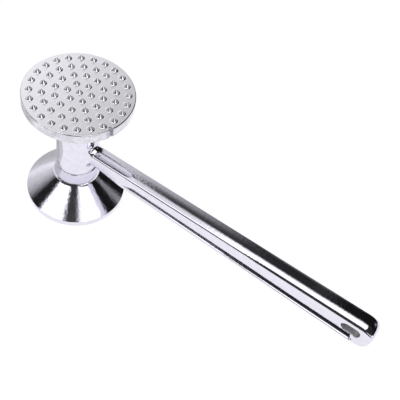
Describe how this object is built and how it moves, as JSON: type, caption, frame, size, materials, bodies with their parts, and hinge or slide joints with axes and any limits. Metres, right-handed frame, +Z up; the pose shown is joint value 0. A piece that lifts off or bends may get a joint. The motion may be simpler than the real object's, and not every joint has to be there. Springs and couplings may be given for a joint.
{
  "type": "meat mallet",
  "caption": "Two-faced cast metal meat mallet: toothed and smooth flared heads on a round neck, with a slim bar handle and a hanging slot.",
  "frame": {"origin": "centre of the smooth striking face, which the tool stands on", "axes": "+Z up the neck's axis from the smooth face to the toothed face, +X along the handle towards its end, +Y across the handle"},
  "size_m": [0.2427, 0.065, 0.0923],
  "materials": {
    "toothed_casting": "satin cast face, polished rim and teeth",
    "polished_casting": "mirror polished casting",
    "plated_steel": "bright zinc plated"
  },
  "bodies": {
    "root": {"toothed_head": "toothed_casting", "smooth_head": "polished_casting", "handle": "polished_casting", "neck_collar": "polished_casting", "tie_stud": "plated_steel", "lock_washer": "plated_steel", "key_pin": "plated_steel"}
  },
  "joints": []
}
